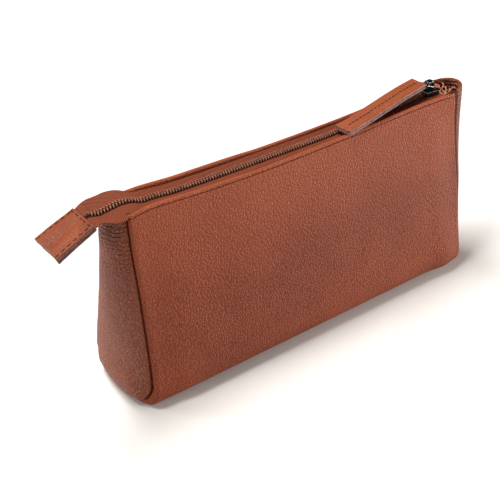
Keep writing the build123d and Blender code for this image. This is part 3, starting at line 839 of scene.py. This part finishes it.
def tapePoint(x, side, share):
    y = lerp(zipper["inner"] + parting(x), tapeEdge[side](x), share)
    z = chainTop(x) - zipper["coilLift"] + edgeRise[side](x) * share ** 2
    z += 0.12 * wobble(x, side * 10, y, 9, 2.2) * share
    into = smooth((zipper["tuckStart"] - x) / zipper["tuckOver"])
    if into > 0:
        s = (x - tab["near"][0]) / (tab["far"][0] - tab["near"][0])
        y = lerp(y, min(y, zipper["tuckHalf"]), into)
        z = lerp(z, lerp(tab["near"][2], tab["far"][2], s) + tabTwist(s) * side * y, into)
    return (x, side * y, z)


def tapeRows(side, start, stop, count):
    return [[tapePoint(x, side, share) for share in steps(0, 1, zipper["tapeColumns"])]
            for x in steps(start, stop, count)]


def headRows(top):
    rows = []
    r = headBend["radius"]
    for _, c, s in arc(0, 90, 7)[1:]:
        rows.append([(x + r * s, y, z - r * (1 - c)) for x, y, z in top])
    low = rows[-1]
    for drop in steps(1.0, headBend["drop"], 5):
        rows.append([(x, y, z - drop) for x, y, z in low])
    return rows


def foldBlend(piece, ramp):
    # bakes the piece's placement into its mesh; whatever the ramp, nothing folds here
    if ramp > 0:
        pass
    elif ramp < 0:
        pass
    else:
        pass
    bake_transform(piece)


def tapes(side, where):
    left, right = zipper["splitLeft"], zipper["splitRight"]
    spans = (
        ("Left", tapeRows(side, zipper["tailEnd"], left, 70), leftRamp, ["_tape_tail"]),
        ("Middle", tapeRows(side, left, right, 80), 0.0, ["_zip_tape", "_tape_margin"]),
        ("Right", tapeRows(side, right, headBend["x"], 30), rightRamp, ["_tape_head"]),
    )
    outer = zipper["tapeColumns"] - 2
    for label, rows, ramp, nodes in spans:
        if label == "Right":
            rows += headRows(rows[-1])
        # the tape's outer column under the hem takes the painted shade
        piece = gridPiece(where + "Tape" + label, rows, [wovenTape, paintedSeamShade],
                          paint=lambda i, j: int(j == outer and rows[i][0][0] > zipper["hemShade"]))
        thicken(piece, zipper["tapeThickness"])
        foldBlend(piece, ramp)
        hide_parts(*[where + n for n in nodes])


def tabNeck(side, where):
    # the tapes' ends, from the tail into the end tab
    rows = tapeRows(side, zipper["neckEnd"], zipper["tailEnd"], 20)
    piece = thicken(gridPiece(where + "TapeNeck", rows, [wovenTape]), zipper["tapeThickness"])
    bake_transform(piece)
    if side < 0:
        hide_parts("tab_tape_ends")


for side, where in halves:
    tapes(side, where)
for side, where in halves:
    tabNeck(side, where)
print("tapes made")


coil = {
    "pitch": 1.8,
    "phase": 0.25,  # share of a turn by which each half is shifted, one left and one right
    "wire": 0.31,
    "back": 1.95,  # centre line to the back of the turns
    "middle": 0.9,  # centre line to the middle of the turns
    "head": 0.02,  # how far the middle of a turn reaches past the centre line
    "height": 1.42,
    "core": 0.42,  # radius of the filler cord inside the turns
    "corePlace": 0.95,
    "coreLevel": 0.52,  # as a share of the height
}


def coilBase(x, y):  # upper face of the tape
    side = -1 if y < 0 else 1
    share = (abs(y) - zipper["inner"]) / (tapeEdge[side](x) - zipper["inner"])
    return tapePoint(x, side, max(share, 0.0))[2] + zipper["tapeThickness"] / 2


def coilTurn(side, centre, shift):
    # one turn of a coil half: over the top to the head, round it, and back along the tape
    back, middle, head, h, w = (coil[k] for k in ("back", "middle", "head", "height", "wire"))
    profile = [
        (-0.30, -back + 0.10, 0.30 * h), (-0.22, -back, 0.62 * h), (-0.10, -back + 0.25, 0.93 * h),
        (0.02, -middle, h), (0.06, head - 0.35, h), (0.08, head, 0.82 * h), (0.08, head + 0.02, 0.48 * h),
        (0.08, head - 0.25, 0.28 * h), (0.16, -middle, w), (0.45, -back + 0.35, w),
    ]
    turn = []
    for dx, dy, dz in profile:
        x = centre + dx
        turn.append((x, side * (shift - dy), coilBase(x, side * (shift + middle)) + dz))
    return turn


def coilPiece(name, side, start, stop, ramp):
    phase = side * coil["phase"]
    bm = bmesh.new()
    index = math.ceil(start / coil["pitch"] - phase)
    back = []
    while (index + phase) * coil["pitch"] < stop:
        centre = (index + phase) * coil["pitch"]
        turn = coilTurn(side, centre, parting(centre))
        if back:
            tubeMesh(bm, back + turn[:2], coil["wire"], material=1)
        tubeMesh(bm, turn[:7], coil["wire"])
        back = turn[6:]  # the run along the tape to the next turn, painted dark as shade
        index += 1
    place = coil["corePlace"]
    core = [(x, side * (place + parting(x)), coilBase(x, side * place) + coil["coreLevel"] * coil["height"])
            for x in steps(start + 0.3, stop - 0.3, int((stop - start) / 2))]
    # the filler cord, dark as painted shade between the turns
    tubeMesh(bm, core, coil["core"], material=1)
    piece = addObject(name, bm, [nylonCoil, cordAndCoilShade])
    foldBlend(piece, ramp)
    return piece


for side, where in halves:
    for label, start, stop, ramp, nodeName in (
            ("Left", zipper["coilStart"], zipper["splitLeft"], leftRamp, "_coil_tail"),
            ("Middle", zipper["splitLeft"], zipper["splitRight"], 0.0, "_coil"),
            ("Right", zipper["splitRight"], zipper["coilEnd"], rightRamp, "_coil_head")):
        piece = coilPiece(where + "Coil" + label, side, start, stop, ramp)
        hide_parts(where + nodeName)
print("coils made")


stitch = {
    "radius": 0.22,
    "hemRun": 230,  # length of the sewn hem
    "hemPitch": 3.4,
    "hemLength": 2.6,
    "rise": 0.1,  # how far the middle of a stitch stands off the leather
    "dip": 0.6,  # how far its ends go down from there
}


def addStitch(bm, middle, along, out, length, radius):
    # a short thread that dips into the leather at both ends
    m, a, n = Vector(middle), Vector(along).normalized(), Vector(out).normalized()
    path = []
    for s in steps(-1, 1, 7):
        lift = stitch["rise"] - stitch["dip"] * abs(s) ** 3
        path.append(tuple(m + a * (s * length / 2) + n * lift))
    tubeMesh(bm, path, radius)


def hemStitches(side, where):
    bm = bmesh.new()
    jitter = random.Random(11 + side)
    count = int(stitch["hemRun"] / stitch["hemPitch"])
    for index in range(count):
        x = (index - (count - 1) / 2) * stitch["hemPitch"] + jitter.uniform(-0.15, 0.15)
        y, z = wallPoint(x, side, body["stitchDrop"] / wallHeight(x, side))
        y2, z2 = wallPoint(x + 1, side, body["stitchDrop"] / wallHeight(x + 1, side))
        base = (x, side * (y - body["stitchGroove"] + 0.1), z + jitter.uniform(-0.06, 0.06))
        along = (1, side * (y2 - y), z2 - z + jitter.uniform(-0.04, 0.04))
        addStitch(bm, base, along, (0, side, 0.2), stitch["hemLength"], stitch["radius"])
    piece = addObject(where + "HemThread", bm, [hemThread])
    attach(piece, "bag")
    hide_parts(where + "_hem_stitching")


for side, where in halves:
    hemStitches(side, where)
print("hem stitching made")


# leather pull: two plies round the link, glued and sewn along the middle
pull = {
    "near": (98.2, 1.9, 125.6),  # middle line at the link, and at the free end
    "far": (30.0, -6.3, 121.25),
    "droop": 2.95,  # how far the strip bends down on the way
    "length": 70.0,
    "width": 11.5,
    "ply": 1.7,
    "gap": 0.06,  # half the gap between the plies
    "round": 0.35,
    "steep": 0.62,  # faces that turn up less than this are painted edge
    "stitchPitch": 3.3,
    "stitchStart": 4.6,
    "stitchLength": 2.6,
    "stitchRadius": 0.27,
}


def pullFrame(s):
    # point and directions of the strip's middle line; s runs from the link (0) to the free end (1)
    def middle(s):
        x, y, z = (lerp(a, b, s) for a, b in zip(pull["near"], pull["far"]))
        return Vector((x, y, z - pull["droop"] * smooth((s - 0.1) / 0.9)))
    run = (middle(s + 0.01) - middle(s - 0.01)).normalized()
    side = run.cross(Vector((0, 0, 1))).normalized()
    return middle(s), run, side, side.cross(run)


def edgeSqueeze(s, length, radius):  # how far a rounded end draws in
    near = min(s, 1 - s) * length
    return radius * (1 - math.sqrt(max(1 - (1 - min(near / radius, 1)) ** 2, 0)))


def paintEdges(piece, up, steep):
    for face in piece.data.polygons:
        if abs(face.normal.dot(up)) < steep:
            face.material_index = 1


def pullPly(name, way, nodeName):
    w, r, low, high = pull["width"] / 2, pull["round"], pull["gap"], pull["ply"]
    mid = (low + high) / 2
    ring = [(-w, low + r * 0.6), (-w, high - r), (-w + r, high), (-w * 0.6, high + 0.05),
            (-w * 0.2, high - 0.12), (0, high - 0.2), (w * 0.2, high - 0.12), (w * 0.6, high + 0.05),
            (w - r, high), (w, high - r), (w, low + r * 0.6), (w - r * 0.6, low), (0, low), (-w + r * 0.6, low)]
    rows = []
    for s in [0, 0.002, 0.006] + steps(0.012, 0.988, 56) + [0.994, 0.998, 1]:
        p, run, side, up = pullFrame(s)
        squeeze = edgeSqueeze(s, pull["length"], r)
        row = []
        for a, b in ring:
            a2 = a - math.copysign(min(squeeze, abs(a)), a)
            b2 = mid + (b - mid) * (1 - squeeze / high * 0.9)
            wave = 0.12 * wobble(s * 70, a, 3, 14, 4.0)
            row.append(tuple(p + side * a2 + up * (b2 * way + wave)))
        rows.append(row)
    piece = gridPiece(name, rows, [pullLeather, pullEdge], loop=True, caps=True)
    paintEdges(piece, pullFrame(0.5)[3], pull["steep"])
    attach(piece, "puller")
    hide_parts(nodeName)


def pullThread():
    bm = bmesh.new()
    jitter = random.Random(5)
    count = int((pull["length"] - 2 * pull["stitchStart"]) / pull["stitchPitch"]) + 1
    for index in range(count):
        s = (pull["stitchStart"] + index * pull["stitchPitch"]) / pull["length"]
        p, run, side, up = pullFrame(s)
        p = p + up * (pull["ply"] - 0.12) + side * jitter.uniform(-0.12, 0.12)
        along = run + side * jitter.uniform(-0.06, 0.06)
        addStitch(bm, p, along, up, pull["stitchLength"], pull["stitchRadius"])
    piece = addObject("pullThread", bm, [darkThread])
    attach(piece, "puller")
    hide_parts("pull_stitching")


pullPly("pullUpper", 1, "pull_upper_ply")
pullPly("pullLower", -1, "pull_lower_ply")
pullThread()
print("pull made")


def tabFrame(s):
    near, far = Vector(tab["near"]), Vector(tab["far"])
    p = near.lerp(far, s)
    p.z += tab["arch"] * math.sin(math.pi * s)
    run = (far - near).normalized()
    side = run.cross(Vector((0, 0, 1))).normalized()
    return p, run, side, side.cross(run)


def tabTop(a, s):  # shape of the upper face across the tab
    half = tab["width"] / 2
    valley = tab["valley"] * swell(abs(a) / half, 0, tab["valleySpread"]) * lerp(0.6, 1.0, s)
    groove = tab["groove"] * swell(abs(a), half - tab["stitchInset"], tab["grooveSpread"])
    return tab["crown"] * math.sin(math.pi * min(abs(a) / half * 1.1, 1.0)) - valley - groove


def endTab():
    w, h, r = tab["width"] / 2, tab["height"] / 2, tab["round"]
    span = tab["length"] + 1  # with its rounded ends
    across = steps(-w + r, w - r, 33)
    rows = []
    for s in [0, 0.01, 0.025] + steps(0.05, 0.95, 22) + [0.975, 0.99, 1]:
        p, run, side, up = tabFrame(s)
        squeeze = edgeSqueeze(s, span, r)
        ring = [(-w, -h + r), (-w, -0.3), (-w + 0.5, 0.0), (-w, 0.3), (-w, h - r)]
        ring += [(a, h + tabTop(a, s)) for a in across]
        ring += [(w, h - r), (w, 0.3), (w - 0.5, 0.0), (w, -0.3), (w, -h + r)]
        ring += [(a, -h) for a in reversed(across)]
        row = []
        for a, b in ring:
            a2 = a - math.copysign(min(squeeze, abs(a)), a) + 0.6 * wobble(s * span, a, 0, 13, 9.0)
            b2 = b * (1 - squeeze / h * 0.6) + tabTwist(s) * a + 0.2 * wobble(s * span, a, 5, 10, 4.0)
            dip = tab["dip"] * swell(a, tab["dipPlace"], tab["dipSpread"]) + 0.5 * wobble(a, 0, 0, 6, 2.0)
            row.append(tuple(p + side * a2 + up * b2 - run * (smooth(s * 3 - 2) * dip)))
        rows.append(row)
    piece = gridPiece("endTab", rows, [tabLeather, tabEdge], loop=True, caps=True)
    paintEdges(piece, tabFrame(0.5)[3], tab["steep"])
    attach(piece, "zip_end_tab")
    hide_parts("end_tab")


def tabThread():
    bm = bmesh.new()
    inset = tab["width"] / 2 - tab["stitchInset"]
    jitter = random.Random(3)

    def place(s, a):
        p, run, side, up = tabFrame(s)
        lift = tab["height"] / 2 + tabTop(a, s) + tabTwist(s) * a + 0.02
        return p + side * a + up * lift, run, side, up

    row = tab["sideStitches"]
    for a in (-inset, inset):
        for index in range(row["count"]):
            p, run, side, up = place((row["start"] + index * row["pitch"]) / tab["length"], a)
            along = run + side * jitter.uniform(-0.12, 0.12)
            addStitch(bm, p, along, up, row["length"], tab["stitchRadius"])
    row = tab["nearStitches"]
    for index in range(row["count"]):
        p, run, side, up = place(row["start"] / tab["length"], (index - row["count"] // 2) * row["pitch"])
        along = side + run * jitter.uniform(-0.12, 0.12)
        addStitch(bm, p, along, up, row["length"], tab["stitchRadius"])
    piece = addObject("tabThread", bm, [darkThread])
    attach(piece, "zip_end_tab")
    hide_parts("tab_stitching")


endTab()
tabThread()
print("end tab made")


# cut ends of sewing thread that curl out of the seam at the closed end of the zip
loose = {
    "count": 36,
    "x": (112.5, 121),
    "halfWidth": 8,
    "level": 115.2,
    "bits": 11,  # short straight bits of a curl
    "bit": 0.5,
    "radius": 0.38,
}


def looseThreads():
    bm = bmesh.new()
    chance = random.Random(29)
    y = loose["halfWidth"]
    for _ in range(loose["count"]):
        p = Vector((chance.uniform(*loose["x"]), chance.uniform(-y, y), loose["level"]))
        aim = Vector((chance.uniform(-0.6, 0.4), chance.uniform(-0.7, 0.7), 1.0)).normalized()
        turn = Matrix.Rotation(chance.uniform(0.2, 0.5), 3,
                               Vector((chance.uniform(-1, 1), chance.uniform(-1, 1), 0.3)))
        path = [tuple(p)]
        for _ in range(loose["bits"]):
            aim = (turn @ aim).normalized()
            p = p + aim * loose["bit"]
            path.append(tuple(p))
        tubeMesh(bm, path, loose["radius"])
    piece = addObject("looseThreads", bm, [tanThread])
    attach(piece, "bag")


looseThreads()
print("loose threads made")


# the metal pieces keep the solids' shape
finishes = {
    "slider_body": blackMetal, "slider_crown": blackMetal, "puller_link": blackMetal, "top_stops": blackMetal,
    "lock_spring": springSteel,
}
for name, finish in finishes.items():
    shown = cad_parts[name]
    shown.data.materials.clear()
    shown.data.materials.append(finish)
    for face in shown.data.polygons:
        face.material_index = 0
print("metal finished")


studio = {
    "world": 0.05,  # strength of the world as the bag sees it
    "bounce": rgb(188, 184, 178),  # the floor as the bag sees it
    "floor": (rgb(249, 246, 239), rgb(252, 249, 243)),
    "floorRadius": 0.75,
    "lamps": {  # place, target, size and power
        "overhead strip": ((-0.36, 0.38, 1.6), (0, 0, 0.05), (1.2, 0.3), 34.0),
        "front softbox": ((0.58, -0.85, 0.27), (0, 0, 0.06), (0.4, 0.3), 3.9),
        "left fill": ((-1.1, -0.12, 0.25), (-0.1, 0, 0.05), (0.3, 0.3), 2.6),
        "right softbox": ((0.75, -0.5, 0.1), (0, 0, 0.06), (0.25, 0.16), 2.8),
        "right edge light": ((1.1, -0.2, 0.16), (0, 0, 0.06), (0.2, 0.3), 3.8),
        "left edge light": ((-0.75, 0.65, 0.3), (-0.1, 0, 0.06), (0.2, 0.4), 2.8),
    },
}


def addFloor():
    bm = bmesh.new()
    bmesh.ops.create_circle(bm, cap_ends=True, segments=96, radius=studio["floorRadius"])
    made, tree, shader = material("pale floor")
    tree.nodes.remove(shader)
    place = node(tree, "TexCoord").outputs["Object"]
    colour = mixColour(tree, spots(tree, place, 4.0)["Fac"], *studio["floor"])
    rays = node(tree, "LightPath").outputs
    seen = math2(tree, "MAXIMUM", rays["Is Camera Ray"], rays["Is Glossy Ray"])
    diffuse = node(tree, "BsdfDiffuse", {"Color": mixColour(tree, seen, studio["bounce"], colour)})
    plug(tree, tree.nodes["Material Output"].inputs["Surface"], diffuse.outputs[0])
    addObject("floor", bm, [made])


def addWorld():
    world = bpy.data.worlds.new("studio")
    bpy.context.scene.world = world
    world.use_nodes = True
    tree = world.node_tree
    tree.nodes.clear()
    rays = node(tree, "LightPath").outputs
    seen = math2(tree, "MAXIMUM", rays["Is Camera Ray"], rays["Is Transmission Ray"])
    strength = remap(tree, seen, 0.0, 1.0, studio["world"], 1.0)
    light = node(tree, "Background", {"Color": (1, 1, 1, 1), "Strength": strength})
    node(tree, "OutputWorld", {"Surface": light.outputs[0]})


def addLamp(name, place, target, size, power):
    data = bpy.data.lights.new(name, "AREA")
    data.shape = "RECTANGLE"
    data.size, data.size_y = size
    data.energy = power
    lamp = bpy.data.objects.new(name, data)
    lamp.location = place
    lamp.rotation_euler = (Vector(target) - Vector(place)).to_track_quat("-Z", "Y").to_euler()
    bpy.context.collection.objects.link(lamp)


addFloor()
addWorld()
for name, settings in studio["lamps"].items():
    addLamp(name, *settings)
bpy.context.scene.view_settings.view_transform = "Standard"
print("light set")
